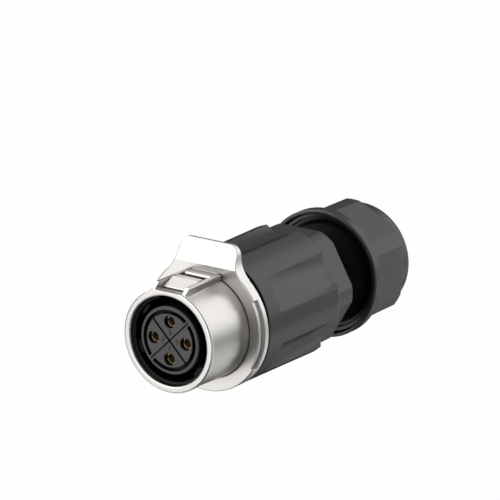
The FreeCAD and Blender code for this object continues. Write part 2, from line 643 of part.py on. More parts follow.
def front_shell():
    """Front shell: barrel, guide rails beside the latch, latch window and threaded rear end."""
    body = new_body("front_shell", BODY_FRONT)
    groove_front = "-seal_groove_depth"
    groove_rear = "-seal_groove_depth - seal_groove_width"
    rail_rear = RING_FRONT + " + rail_end_gap"
    turned(body, "barrel", [
        ("retainer_bore", "-shell_rear_length"),
        ("shell_thread_radius - thread_lead", "-shell_rear_length"),
        ("shell_thread_radius", "-shell_rear_length + thread_lead"),
        ("shell_thread_radius", groove_rear),
        ("seal_groove_radius", groove_rear),
        ("seal_groove_radius", groove_front),
        ("shell_thread_radius", groove_front),
        ("shell_thread_radius", "-counterbore_depth"),
        ("barrel_radius", "-counterbore_depth"),
        ("barrel_radius", rail_rear),
        ("neck_radius", behind_mouth("rim_length + rim_rise")),
        ("rim_radius", behind_mouth("rim_length")),
        ("rim_radius", MOUTH + " - rim_rounding", "rim_rounding", 1),
        ("rim_radius - rim_rounding", MOUTH),
        ("barrel_bore + rim_rounding", MOUTH, "rim_rounding", 1),
        ("barrel_bore", MOUTH + " - rim_rounding"),
        ("barrel_bore", CHAMBER_FLOOR),
        ("shoulder_bore", CHAMBER_FLOOR),
        ("shoulder_bore", SHOULDER_REAR),
        ("retainer_bore", SHOULDER_REAR),
    ])
    raised(body, "rails", "YZ_Plane", [
        ("rail_foot", rail_rear),
        ("rail_top", rail_rear),
        ("rail_top", behind_mouth("rail_ramp")),
        ("barrel_bore + rail_toe", behind_mouth("rim_rounding")),
        ("rail_foot", behind_mouth("rim_rounding")),
    ], "2 * rail_side", both_ways=True)
    rounded = cut(body, "rail_edge", "XY_Plane", [[
        ("rail_side", "rail_top - rail_rounding", "rail_rounding", 1),
        ("rail_side - rail_rounding", "rail_top"),
        ("rail_side - rail_rounding", "rail_top + overcut"),
        ("rail_side + overcut", "rail_top + overcut"),
        ("rail_side + overcut", "rail_top - rail_rounding"),
    ]], MOUTH, MOUTH)
    mirrored(body, rounded)
    cut(body, "channel", "XY_Plane",
        [box_corners("-channel_half_width", "channel_half_width", "channel_floor", "rail_top + overcut")],
        MOUTH + " + channel_runout", MOUTH)
    cut(body, "window", "XY_Plane",
        [box_corners("-window_half_width", "window_half_width", "shoulder_bore", "rail_top + overcut")],
        "window_rear - window_front", behind_mouth("window_front"))
    cut(body, "pin_holes", "YZ_Plane", [("pivot_radius", "0", "pivot_height")],
        "2 * ( barrel_radius + overcut )", both_ways=True)


def release_ring():
    """Release ring, thumb tab and latch arm in one casting."""
    body = new_body("release_ring", BODY_FRONT)
    turned(body, "ring", [
        ("ring_bore - overlap", "ring_gap"),
        ("ring_radius - cast_edge", "ring_gap"),
        ("ring_radius", "ring_gap + cast_edge"),
        ("ring_radius", RING_FRONT + " - cast_edge"),
        ("ring_radius - cast_edge", RING_FRONT),
        ("ring_bore - overlap", RING_FRONT),
    ])
    foot_across = "ring_radius * web_across / web_reach"
    foot_height = "ring_radius * web_height / web_reach"
    raised(body, "tab", "XY_Plane", [
        (foot_across, foot_height, "tab_web", -1),
        ("tab_half_width", "web_height"),
        ("tab_half_width", "tab_height - tab_corner", "tab_corner", 1),
        ("tab_half_width - tab_corner", "tab_height"),
        ("-tab_half_width + tab_corner", "tab_height", "tab_corner", 1),
        ("-tab_half_width", "tab_height - tab_corner"),
        ("-tab_half_width", "web_height", "tab_web", -1),
        ("-" + foot_across, foot_height),
    ], "ring_length", "ring_gap")
    top = "tab_height + overcut"
    lean = "( ring_length - tab_tip ) / ( tab_height - tab_bend )"
    cut(body, "thumb_slope", "YZ_Plane", [[
        ("tab_bend", RING_FRONT),
        (top, RING_FRONT + " - " + lean + " * ( " + top + " - tab_bend )"),
        (top, RING_FRONT + " + overcut"),
        ("tab_bend", RING_FRONT + " + overcut"),
    ]], "2 * web_across", both_ways=True)
    cut(body, "bore", "XY_Plane", [("ring_bore", "0", "0")], MOUTH, MOUTH)
    raised(body, "arm", "YZ_Plane", [
        ("arm_under", "ring_gap"),
        ("arm_top", "ring_gap"),
        ("arm_top", behind_mouth("catch_rear + catch_bevel")),
        ("arm_top - catch_bevel", behind_mouth("catch_rear")),
        ("leg_top", behind_mouth("catch_rear")),
        ("leg_top", behind_mouth("catch_front")),
        ("arm_top + nose_rise", behind_mouth("catch_front")),
        ("arm_top + nose_rise", behind_mouth("nose_crest")),
        ("arm_under", behind_mouth("arm_nose")),
    ], "2 * arm_half_width", both_ways=True)
    cut(body, "catch_slot", "XY_Plane",
        [box_corners("-leg_inner", "leg_inner", "arm_under - overcut", "arm_top + overcut")],
        "catch_rear - catch_front", behind_mouth("catch_front"))
    raised(body, "hook", "YZ_Plane", [
        ("arm_under + overlap", behind_mouth("hook_lead")),
        ("arm_under", behind_mouth("hook_lead")),
        ("hook_tip", behind_mouth("hook_flat")),
        ("hook_tip", behind_mouth("catch_front")),
        ("arm_under + overlap", behind_mouth("catch_front")),
    ], "2 * hook_half_width", both_ways=True)
    recess = grooved(body, "recess", [
        ("recess_radius", RING_FRONT + " - recess_length"),
        ("ring_radius + overcut", RING_FRONT + " - recess_length"),
        ("ring_radius + overcut", RING_FRONT + " + overcut"),
        ("recess_radius", RING_FRONT + " + overcut"),
    ], "2 * recess_half_angle")
    mirrored(body, recess)
    hole = ("pivot_radius + pivot_clearance", "0", "pivot_height")
    cut(body, "pin_holes", "YZ_Plane", [hole], "2 * ( pivot_reach + pivot_clearance )", both_ways=True)
    cut(body, "spring_pockets", "XY_Plane", spring_places(), "ring_gap + ring_pocket_depth",
        "ring_gap + ring_pocket_depth")


def pivot_pin(label, side):
    """Plain pin through the barrel wall, on which the release ring rocks."""
    pin = doc.addObject("Part::Cylinder", label)
    pin.Label = label
    pin.setExpression("Radius", size("pivot_radius"))
    pin.setExpression("Height", size("pivot_reach - pivot_root"))
    pin.Placement.Rotation = FreeCAD.Rotation(FreeCAD.Vector(0, 1, 0), 90 * side)
    pin.setExpression("Placement.Base.x", size("%d * pivot_root" % side))
    pin.setExpression("Placement.Base.z", size(BODY_FRONT + " + pivot_height"))


def latch_spring(label, side):
    """Small compression spring between the grip body and the release ring."""
    helix = doc.addObject("Part::Helix", label + "_path")
    helix.setExpression("Pitch", size("latch_spring_pitch"))
    room = "body_pocket_depth + ring_gap + ring_pocket_depth"
    helix.setExpression("Height", size(room + " - 2 * latch_spring_wire"))
    helix.setExpression("Radius", size("latch_spring_coil"))
    wire = doc.addObject("Part::Circle", label + "_wire")
    wire.setExpression("Radius", size("latch_spring_wire"))
    wire.Placement = FreeCAD.Placement(FreeCAD.Vector(), FreeCAD.Rotation(FreeCAD.Vector(1, 0, 0), 90))
    wire.setExpression("Placement.Base.x", size("latch_spring_coil"))
    spring = doc.addObject("Part::Sweep", label)
    spring.Label = label
    spring.Sections = [wire]
    spring.Spine = (helix, ["Edge1"])
    spring.Solid = True
    spring.Frenet = True
    spring.setExpression("Placement.Base.x", size("%d * latch_spring_offset" % side))
    spring.setExpression("Placement.Base.y", size("latch_spring_height"))
    spring.setExpression("Placement.Base.z", size(BODY_FRONT + " - body_pocket_depth + latch_spring_wire"))


def contact_insert():
    """Contact insert: four quadrants in a rim, a flange, and a hole for each contact."""
    body = new_body("contact_insert", BODY_FRONT)
    turned(body, "blank", [
        ("0", FLANGE_REAR),
        ("insert_flange_radius", FLANGE_REAR),
        ("insert_flange_radius", SHOULDER_REAR),
        ("insert_radius", SHOULDER_REAR),
        ("insert_radius", INSERT_FACE + " - fine_edge"),
        ("insert_radius - fine_edge", INSERT_FACE),
        ("0", INSERT_FACE),
    ])
    bore = cut(body, "bore", "XY_Plane", [("tube_radius + contact_fit", "contact_circle", "0")],
               MOUTH, MOUTH)
    repeated(body, bore, "contact_count")
    mouth = cut(body, "mouth", "XY_Plane", [("contact_mouth", "contact_circle", "0")],
                "contact_setback", INSERT_FACE)
    repeated(body, mouth, "contact_count")
    seat = ("contact_collar_radius + contact_fit", "contact_circle", "0")
    collar = cut(body, "collar_seat", "XY_Plane", [seat], "contact_collar_length",
                 FLANGE_REAR + " + contact_collar_length")
    repeated(body, collar, "contact_count")
    groove_floor = INSERT_FACE + " - face_groove_depth"
    grooved(body, "face_groove", [
        ("face_groove_inner", groove_floor),
        ("face_groove_outer", groove_floor),
        ("face_groove_outer", INSERT_FACE + " + overcut"),
        ("face_groove_inner", INSERT_FACE + " + overcut"),
    ])
    bridge_ends = diagonal_strip("face_groove_inner - overlap", "face_groove_outer + overlap",
                                 "bridge_width / 2")
    bridge = raised(body, "bridge", "XY_Plane", bridge_ends, "face_groove_depth", groove_floor)
    repeated(body, bridge, "2")
    deep = diagonal_strip("-face_groove_inner - overlap", "face_groove_inner + overlap",
                          "cross_slot_width / 2", -1)
    cut(body, "cross_slot", "XY_Plane", [deep], "face_groove_depth", INSERT_FACE)
    thin = diagonal_strip("-face_groove_outer", "face_groove_outer", "thin_slot_width / 2")
    cut(body, "thin_slot", "XY_Plane", [thin], "thin_slot_depth", INSERT_FACE)


def diagonal_strip(start, end, half_width, side=1):
    """Corners of a strip along the line at 45 degrees to +X, or at -45 degrees for side -1."""
    corners = []
    for along, across in ((start, "-1"), (end, "-1"), (end, "1"), (start, "1")):
        shift = "( " + across + " ) * ( " + half_width + " )"
        x = "( ( " + along + " ) - " + shift + " ) * sqrt( 0.5 )"
        y = "( ( " + along + " ) + " + shift + " ) * sqrt( 0.5 )"
        corners.append((x, y) if side > 0 else (x, "-1 * " + y))
    return corners if side > 0 else corners[::-1]


def contact_places():
    """Angle of each contact, in degrees, counterclockwise from +X seen from the mating end."""
    count = int(amount("contact_count"))
    return [360.0 * index / count for index in range(count)]


def socket_contact(label, angle):
    """Socket contact: slotted tube, collar, and terminal with wire hole and screw hole."""
    body = new_body(label, BODY_FRONT + " + " + FLANGE_REAR)
    body.Placement.Rotation = FreeCAD.Rotation(FreeCAD.Vector(0, 0, 1), angle)
    body.setExpression("Placement.Base.x", size("contact_circle * cos( %g )" % angle))
    body.setExpression("Placement.Base.y", size("contact_circle * sin( %g )" % angle))
    tube_front = INSERT_FACE + " - ( " + FLANGE_REAR + " ) - contact_setback"
    turned(body, "blank", [
        ("wire_bore", "-terminal_length"),
        ("terminal_radius", "-terminal_length"),
        ("terminal_radius", "0"),
        ("contact_collar_radius", "0"),
        ("contact_collar_radius", "contact_collar_length"),
        ("tube_radius", "contact_collar_length"),
        ("tube_radius", tube_front + " - cast_edge"),
        ("tube_radius - cast_edge / 2", tube_front),
        ("pin_bore", tube_front),
        ("pin_bore", tube_front + " - pin_bore_depth"),
        ("0", tube_front + " - pin_bore_depth - drill_point"),
        ("0", "-terminal_length + wire_bore_depth + drill_point"),
        ("wire_bore", "-terminal_length + wire_bore_depth"),
    ])
    half = "tine_slot_width / 2"
    reach = "tube_radius + overcut"
    across = box_corners("-1 * ( " + reach + " )", reach, "-" + half, half)
    tine = cut(body, "tine_slot", "XY_Plane", [across], "tine_slot_depth", tube_front)
    repeated(body, tine, "4")
    cut(body, "screw_hole", "YZ_Plane", [("screw_radius", "0", "-terminal_length + screw_station")],
        "terminal_radius + overcut", "terminal_radius + overcut")


def terminal_screws():
    """The terminal screws, as one group of equal solids."""
    screws = []
    for number, angle in enumerate(contact_places(), start=1):
        shank = doc.addObject("Part::Cylinder", "terminal_screw_shank_%d" % number)
        shank.setExpression("Radius", size("screw_radius"))
        shank.setExpression("Height", size("terminal_radius + screw_head_gap - screw_point"))
        drive = doc.addObject("Part::Prism", "terminal_screw_drive_%d" % number)
        drive.Polygon = 6
        drive.setExpression("Circumradius", size("screw_socket_radius"))
        drive.setExpression("Height", size("screw_socket_depth"))
        drive.setExpression("Placement.Base.z",
                            size("terminal_radius + screw_head_gap - screw_point - screw_socket_depth"))
        screw = doc.addObject("Part::Cut", "terminal_screw_%d" % number)
        screw.Base = shank
        screw.Tool = drive
        turn = FreeCAD.Rotation(FreeCAD.Vector(0, 0, 1), angle)
        screw.Placement.Rotation = turn.multiply(FreeCAD.Rotation(FreeCAD.Vector(0, 1, 0), 90))
        reach = "( contact_circle + screw_point )"
        screw.setExpression("Placement.Base.x", size(reach + " * cos( %g )" % angle))
        screw.setExpression("Placement.Base.y", size(reach + " * sin( %g )" % angle))
        height = BODY_FRONT + " + " + FLANGE_REAR + " - terminal_length + screw_station"
        screw.setExpression("Placement.Base.z", size(height))
        screws.append(screw)
    group = doc.addObject("Part::Compound", "terminal_screws")
    group.Label = "terminal_screws"
    group.Links = screws


def rear_insulator():
    """Rear insulator: clamps the collars of the contacts against the insert."""
    body = new_body("rear_insulator", BODY_FRONT + " + " + FLANGE_REAR)
    turned(body, "blank", [
        ("0", "-rear_insulator_length"),
        ("rear_insulator_radius", "-rear_insulator_length"),
        ("rear_insulator_radius", "-rear_insulator_flange"),
        ("insert_flange_radius", "-rear_insulator_flange"),
        ("insert_flange_radius", "0"),
        ("0", "0"),
    ])
    hole = cut(body, "hole", "XY_Plane", [("terminal_radius + contact_fit", "contact_circle", "0")],
               "rear_insulator_length + 2 * overcut", "overcut")
    repeated(body, hole, "contact_count")


def insert_retainer():
    """Threaded ring that holds insert and rear insulator in the front shell."""
    body = new_body("insert_retainer", BODY_FRONT + " + " + FLANGE_REAR + " - rear_insulator_flange")
    turned(body, "ring", box_corners("retainer_hole", "retainer_bore - seating", "-retainer_length", "0"))
    half = "retainer_slot / 2"
    slot = cut(body, "spanner_slot", "XY_Plane",
               [box_corners("retainer_hole - overcut", "retainer_bore + overcut", "-" + half, half)],
               "retainer_length / 2", "-retainer_length / 2")
    repeated(body, slot, "4")


def keying_sleeve():
    """Thin black liner of the mating bore, with keys, open over the latch window."""
    body = new_body("keying_sleeve", BODY_FRONT)
    low = CHAMBER_FLOOR + " + interface_seal_thickness"
    high = behind_mouth("sleeve_setback")
    inner = "barrel_bore - seating - sleeve_wall"
    turned(body, "liner", [
        (inner, low),
        ("barrel_bore - seating", low),
        ("barrel_bore - seating", high),
        (inner + " + fine_edge", high),
        (inner, high + " - fine_edge"),
    ])
    for number, angle in enumerate(KEY_ANGLES, start=1):
        sketch_name = "key_%d" % number
        reach = inner + " + sleeve_wall / 2"
        raised(body, sketch_name, "XY_Plane",
               radial_block(inner + " - key_height", reach, "key_half_width", angle),
               high + " - ( " + low + " ) - key_setback", low)
    cut(body, "latch_window", "XY_Plane",
        [box_corners("-window_half_width", "window_half_width", "insert_radius + overcut",
                     "barrel_bore + overcut")],
        "window_rear - sleeve_setback", high)


def radial_block(near, far, half_width, angle):
    """Corners of a block that points away from the axis at an angle in degrees."""
    corners = []
    for along, across in ((near, "-"), (far, "-"), (far, ""), (near, "")):
        shift = "( " + across + half_width + " )"
        reach = "( " + along + " )"
        corners.append(("%s * cos( %d ) - %s * sin( %d )" % (reach, angle, shift, angle),
                        "%s * sin( %d ) + %s * cos( %d )" % (reach, angle, shift, angle)))
    return corners


def interface_seal():
    """Flat rubber ring on the floor of the mating bore."""
    body = new_body("interface_seal", BODY_FRONT + " + " + CHAMBER_FLOOR)
    turned(body, "ring", box_corners("insert_radius + seating", "barrel_bore - seating",
                                     "0", "interface_seal_thickness"))


def shell_seal():
    """Rubber ring between front shell and grip body."""
    ring = doc.addObject("Part::Torus", "shell_seal")
    ring.Label = "shell_seal"
    ring.setExpression("Radius1", size("( seal_groove_radius + socket_bore ) / 2"))
    ring.setExpression("Radius2", size("( socket_bore - seal_groove_radius ) / 2 - seal_fit"))
    height = BODY_FRONT + " - seal_groove_depth - seal_groove_width / 2"
    ring.setExpression("Placement.Base.z", size(height))


gland_nut()
thrust_washer()
clamp_cage()
gland_seal()
grip_body()
front_shell()
release_ring()
pivot_pin("pivot_pin_right", 1)
pivot_pin("pivot_pin_left", -1)
latch_spring("latch_spring_right", 1)
latch_spring("latch_spring_left", -1)
contact_insert()
for number, angle in enumerate(contact_places(), start=1):
    socket_contact("socket_contact_%d" % number, angle)
terminal_screws()
rear_insulator()
insert_retainer()
keying_sleeve()
interface_seal()
shell_seal()

SUB_PARTS = [
    "gland_nut", "thrust_washer", "clamp_cage", "gland_seal", "grip_body", "front_shell",
    "release_ring", "pivot_pin_right", "pivot_pin_left", "latch_spring_right", "latch_spring_left",
    "contact_insert", "terminal_screws", "rear_insulator", "insert_retainer",
    "keying_sleeve", "interface_seal", "shell_seal",
]
SUB_PARTS += ["socket_contact_%d" % number for number in range(1, int(amount("contact_count")) + 1)]

doc.recompute()
failed = [item.Name for item in doc.Objects if "Invalid" in item.State or "Error" in item.State]
if failed:
    raise RuntimeError("objects that failed to build: " + ", ".join(failed))
for label in SUB_PARTS:
    shape = doc.getObjectsByLabel(label)[0].Shape
    if shape.isNull() or not shape.isValid():
        raise RuntimeError("no valid shape for " + label)
    if label != "terminal_screws" and len(shape.Solids) != 1:
        raise RuntimeError("%s has %d solids" % (label, len(shape.Solids)))
    print("%-20s %9.1f mm3" % (label, shape.Volume))
for label in SUB_PARTS:
    doc.getObjectsByLabel(label)[0].Shape.exportStep("parts/" + label + ".step")
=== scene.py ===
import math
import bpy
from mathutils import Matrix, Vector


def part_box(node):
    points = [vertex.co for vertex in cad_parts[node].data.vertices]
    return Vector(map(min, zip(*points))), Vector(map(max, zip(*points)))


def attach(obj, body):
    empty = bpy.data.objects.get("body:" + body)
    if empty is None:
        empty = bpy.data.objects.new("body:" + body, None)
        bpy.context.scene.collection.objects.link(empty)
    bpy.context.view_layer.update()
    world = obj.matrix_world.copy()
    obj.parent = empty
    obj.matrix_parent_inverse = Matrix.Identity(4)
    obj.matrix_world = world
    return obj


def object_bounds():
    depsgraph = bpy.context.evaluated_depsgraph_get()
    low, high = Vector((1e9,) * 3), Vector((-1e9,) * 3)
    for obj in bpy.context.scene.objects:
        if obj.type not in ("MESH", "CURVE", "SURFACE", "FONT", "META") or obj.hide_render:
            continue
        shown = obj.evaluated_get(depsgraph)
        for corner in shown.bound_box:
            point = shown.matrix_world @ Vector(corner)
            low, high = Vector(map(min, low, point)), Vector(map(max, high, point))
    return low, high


bl_info = {
    "name": "Cable plug looks",
    "version": (1, 0, 0),
    "blender": (4, 5, 0),
    "location": "View3D > Sidebar > Cable plug",
    "description": "Finishes, nut thread, numerals and studio for a four-contact cable plug",
    "category": "Object",
}

import bpy
from bpy.props import FloatProperty, FloatVectorProperty, IntProperty, PointerProperty
from mathutils import Euler, Matrix, Vector

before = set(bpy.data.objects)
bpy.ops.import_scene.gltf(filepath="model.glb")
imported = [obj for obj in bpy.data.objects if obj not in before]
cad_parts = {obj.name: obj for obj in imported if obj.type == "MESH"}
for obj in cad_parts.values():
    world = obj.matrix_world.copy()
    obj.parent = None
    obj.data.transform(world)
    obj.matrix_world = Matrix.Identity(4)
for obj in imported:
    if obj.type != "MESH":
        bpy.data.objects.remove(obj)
CAD_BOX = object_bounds()

MM = 0.001
INSERT_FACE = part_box("contact_insert")[1].z
PLUG_LENGTH = CAD_BOX[1].z - CAD_BOX[0].z


# Sizes and colours that a user would change


def length(name, description, millimetres):
    """Length property with its default in millimetres."""
    return FloatProperty(name=name, description=description, default=millimetres * MM, min=0.0,
                         unit="LENGTH", precision=5)


def share(name, description, value, top):
    """Plain number from 0 to a top value."""
    return FloatProperty(name=name, description=description, default=value, min=0.0, max=top)


def colour(name, description, value):
    """Colour property, in linear values."""
    return FloatVectorProperty(name=name, description=description, default=value, size=3,
                               min=0.0, max=1.0, subtype="COLOR")


class ThreadSizes(bpy.types.PropertyGroup):
    """Thread inside the gland nut"""

    pitch: length("Pitch", "Advance of the thread in one turn", 1.5)
    crest: length("Crest", "Width of the thread's crest", 0.25)
    flank: length("Flank", "Width that one flank takes at the root", 0.32)
    root_radius: length("Root radius", "Axis of the plug to the root of the thread", 14.07)
    crest_radius: length("Crest radius", "Axis of the plug to the crest of the thread", 13.47)
    start: length("Start", "Height where the thread starts", 8.2)
    end: length("End", "Height where the thread ends", 19.2)
    facets: IntProperty(name="Facets", description="Points of the thread in one turn", default=96,
                        min=12, max=256)


class NumeralSizes(bpy.types.PropertyGroup):
    """Raised numerals beside the contacts"""

    height: length("Height", "Height of a numeral", 1.25)
    relief: length("Relief", "How far a numeral stands out of the insert's face", 0.14)
    circle: length("Circle", "Axis of the plug to the middle of a numeral", 2.15)


class FinishColours(bpy.types.PropertyGroup):
    """Colours of the finishes"""

    nickel: colour("Nickel", "Satin nickel plate of barrel and release ring", (0.775, 0.755, 0.725))
    grip: colour("Grip plastic", "Plastic of grip body and gland nut", (0.021, 0.021, 0.0215))
    liner: colour("Liner plastic", "Black plastic inside the mating bore and the gland",
                  (0.008, 0.008, 0.0085))
    insert: colour("Insert plastic", "Dark grey plastic round the contacts", (0.085, 0.086, 0.090))
    rubber: colour("Rubber", "Soft black rubber of the seals", (0.014, 0.014, 0.014))
    gold: colour("Gold flash", "Gold flash of the contacts", (0.74, 0.57, 0.32))
    brass: colour("Brass", "Turned brass of the retaining ring", (0.60, 0.47, 0.25))
    steel: colour("Steel", "Plain steel of pins, screws and springs", (0.55, 0.55, 0.54))
    edge: length("Soft edge", "Radius to which sharp edges of the small parts look rounded", 0.16)
    grip_edge: length("Grip edge", "Radius to which sharp edges of grip and nut look rounded", 0.40)
    cast_edge: length("Cast edge", "Radius to which sharp edges of the castings look rounded", 0.32)
    # Painted shade of the plastics: its reach in hollows, and where grip body and gland nut are darkened
    # inside
    hollow: length("Hollow", "Reach of the darkening in hollows of the plastics", 6.0)
    inside: length("Inside", "Radius inside which grip body and gland nut are dark", 14.6)
    end_wall: length("End wall", "Height up to which the gland nut's end wall isn't dark", 6.5)
    # Painted shade of the castings: reaches and strengths of the darkening that stands in for shade
    corner: length("Corner", "Reach of the darkening in corners of tab-side casting faces", 6.0)
    groove: length("Groove", "Reach of the darkening in narrow grooves of the castings", 2.0)
    tab_side_painted_shade: share("Tab-side darkening", "Darkening of casting faces that look to the tab's side",
                         0.40, 4.0)
    corner_painted_shade: share("Corner darkening", "Further darkening in the corners of such faces", 1.2, 4.0)
    groove_painted_shade: share("Groove darkening", "Darkening in narrow grooves of the castings", 0.3, 4.0)


class StudioLights(bpy.types.PropertyGroup):
    """Studio round the plug"""

    fill: share("Fill", "Even light from all round", 0.057, 4.0)
    key: share("Key", "Strength of the large soft light over the mating end", 1.69, 8.0)
    top: share("Top", "Strength of the wide light above the thumb tab", 0.50, 8.0)
    side: share("Side", "Strength of the light along the barrel's upper side", 1.22, 8.0)
    low: share("Low", "Strength of the light along the barrel's lower side", 1.06, 8.0)
    far: share("Far", "Strength of the light beyond the left of the picture", 1.70, 8.0)
    back: share("Back", "Strength of the light behind the thumb tab", 0.53, 8.0)
    right: share("Right", "Strength of the light beyond the right of the picture", 0.80, 8.0)
    left: share("Left", "Strength of the light below the left of the picture", 0.80, 8.0)
    floor: colour("Floor", "Colour of the floor", (0.86, 0.86, 0.86))


# Tone of the painted shade in a corner of the castings and in a hollow of the plastics, as shares of the
# base
PAINTED_CORNER_SHADE_TONE = 0.12
PAINTED_HOLLOW_SHADE_TONE = 0.1

# Plastics: how fast their painted shade inside goes over to plain plastic outside in a millimetre, the
# share of plain plastic that is left inside under that painted shade, how sharply wear and a painted edge
# highlight follow an edge, how far the roughness varies with grain and wear, and the sockets of a shader
# without gloss
INSIDE_FADE = 1.5
INSIDE_LEAST = 0.12
WEAR_AND_HIGHLIGHT_CONTRAST = 9.0
ROUGH_SPREAD = 0.12
MATT = {"roughness": 0.8, "specular_ior_level": 0.05}

# Thread: turns in which it runs out at each end, and the angle above which its edges are sharp
RUN_OUT_TURNS = 0.4
SHARP_DEGREES = 25

# Numerals: text and place round the axis in degrees, the letter size for each height of a
# numeral, and the share of the relief that its bevel takes
NUMERALS = (("1", 270), ("2", 90), ("3", 180), ("4", 0))
LETTER_SIZE = 1.4
BEVEL_SHARE = 0.3

# Floor: half its side in plug lengths, and the share of its look that is plain white to the
# camera; the rest takes the shadow
FLOOR_REACH = 20
FLOOR_WHITE = 0.985
WHITE = (1.0, 1.0, 1.0)

# Camera: its place in metres, its turn in degrees, and its lens and film width in millimetres
CAMERA_PLACE = Vector((0.423338, 0.245923, 0.679796))
CAMERA_TURN = (-16.6442, 34.3575, 0.6750)
LENS = 216.0
FILM_WIDTH = 36.0

# Soft lights of the room: name of the strength, direction from the plug, and the half-angles in
# degrees inside which a light is full and outside which it is gone
ROOM_LIGHTS = (
    ("key", (-0.375, 0.000, 0.927), 13.8, 35.2),
    ("top", (-0.086, 0.616, 0.783), 29.5, 59.8),
    ("side", (0.460, 0.424, -0.780), 13.3, 37.5),
    ("low", (0.163, -0.290, -0.943), 7.9, 36.1),
    ("far", (-0.695, 0.717, 0.046), 20.2, 41.4),
    ("back", (-0.310, 0.593, -0.743), 5.6, 35.8),
    ("right", (0.950, -0.300, 0.100), 12.0, 38.0),
    ("left", (-0.550, -0.830, 0.100), 12.0, 38.0),
)

GROUPS = {
    "plug_threads": ThreadSizes,
    "plug_numerals": NumeralSizes,
    "plug_colours": FinishColours,
    "plug_studio": StudioLights,
}


# Shader maths


class Wire:
    """Output of a shader node that can be used in sums."""

    def __init__(self, shader, socket):
        self.shader = shader
        self.socket = socket

    def maths(self, operation, first, second, clamp=False):
        """Math node on two values."""
        settings = {"operation": operation, "use_clamp": clamp}
        return self.shader.node("Math", settings, {0: first, 1: second})

    def __add__(self, other):
        return self.maths("ADD", self, other)

    def __radd__(self, other):
        return self.maths("ADD", other, self)

    def __sub__(self, other):
        return self.maths("SUBTRACT", self, other)

    def __rsub__(self, other):
        return self.maths("SUBTRACT", other, self)

    def __mul__(self, other):
        return self.maths("MULTIPLY", self, other)

    def __rmul__(self, other):
        return self.maths("MULTIPLY", other, self)

    def __pow__(self, other):
        return self.maths("POWER", self, other)

    def __rpow__(self, other):
        return self.maths("POWER", other, self)

    def clamped(self):
        """The value, kept between 0 and 1."""
        return self.maths("ADD", self, 0.0, clamp=True)


class Shader:
    """Node tree of a material or a world in the making."""

    def __init__(self, owner):
        owner.use_nodes = True
        self.owner = owner
        self.tree = owner.node_tree
        self.tree.nodes.clear()

    def node(self, kind, settings=None, inputs=None, output=0):
        """One node: its settings are set first, then the values or links of its sockets. Returns
        the output that is asked for."""
        made = self.tree.nodes.new("ShaderNode" + kind)
        for name, value in (settings or {}).items():
            setattr(made, name, value)
        for name, value in (inputs or {}).items():
            if isinstance(value, Wire):
                self.tree.links.new(value.socket, made.inputs[name])
            else:
                made.inputs[name].default_value = value
        return Wire(self, made.outputs[output])

    def mix(self, factor, first, second):
        """Colour between two colours."""
        values = opaque({0: factor, 6: first, 7: second})
        return self.node("Mix", {"data_type": "RGBA"}, values, output=2)

    def dot(self, first, second):
        """Dot product of two vectors."""
        return self.node("VectorMath", {"operation": "DOT_PRODUCT"}, {0: first, 1: second}, output="Value")

    def place(self):
        """Object coordinates in millimetres."""
        coordinates = self.node("TexCoord", output="Object")
        scale = (1 / MM, 1 / MM, 1 / MM)
        return self.node("Mapping", {"vector_type": "POINT"}, {"Vector": coordinates, "Scale": scale})

    def noise(self, place, scale, detail=2.0, roughness=0.5):
        """Noise from 0 to 1, with its scale in features for each millimetre."""
        return self.node("TexNoise", {}, {"Vector": place, "Scale": scale, "Detail": detail,
                                          "Roughness": roughness})

    def parts(self):
        """Object coordinates in millimetres, one by one, and the distance from the plug's axis."""
        place = self.place()
        part = {axis: self.node("SeparateXYZ", {}, {0: place}, output=axis) for axis in "XYZ"}
        part["radius"] = (part["X"] * part["X"] + part["Y"] * part["Y"]) ** 0.5
        return part

    def around(self, turns, rise):
        """Coordinates that follow the plug's axis: angle, radius and height, each stretched."""
        part = self.parts()
        angle = part["X"].maths("ARCTAN2", part["Y"], part["X"])
        return self.node("CombineXYZ", {}, {0: angle * turns, 1: part["radius"] * rise,
                                            2: part["Z"] * rise})

    def soft_edge(self, radius):
        """Normal that rounds the sharp edges of a solid."""
        return self.node("Bevel", {"samples": 6}, {"Radius": radius})

    def open_air(self, reach):
        """How open the surface lies, from 0 in a deep corner to 1 in the open."""
        return self.node("AmbientOcclusion", {"samples": 8}, {"Distance": reach}, output="AO")

    def ramp(self, value, start, end, low=0.0, high=1.0):
        """Value that goes smoothly from low to high between a start and an end."""
        return self.node("MapRange", {"interpolation_type": "SMOOTHSTEP"}, {
            "Value": value, "From Min": start, "From Max": end, "To Min": low, "To Max": high})

    def bumps(self, relief, depth, strength, under):
        """Normal with a fine relief, its depth in millimetres, over another normal."""
        return self.node("Bump", {}, {"Strength": strength, "Distance": depth * MM, "Height": relief,
                                      "Normal": under})

    def principled(self, **sockets):
        """Principled shader."""
        values = {name.replace("_", " ").title().replace("Ior", "IOR"): value
                  for name, value in sockets.items()}
        return self.node("BsdfPrincipled", {}, opaque(values), output="BSDF")

    def blend(self, factor, first, second):
        """Shader between two shaders."""
        return self.node("MixShader", {}, {0: factor, 1: first, 2: second})

    def finish(self, surface, kind="Material"):
        """Output of a material or a world, which is handed back."""
        output = self.tree.nodes.new("ShaderNodeOutput" + kind)
        self.tree.links.new(surface.socket, output.inputs["Surface"])
        return self.owner


def opaque(values):
    """The values, with an alpha of 1 added to each colour."""
    return {key: (*value, 1.0) if isinstance(value, tuple) else value for key, value in values.items()}


def new_finish(name):
    """Shader tree of a new material."""
    return Shader(bpy.data.materials.new(name))


def shade(value, factor):
    """Colour times a factor."""
    return tuple(min(1.0, part * factor) for part in value)


# Finishes


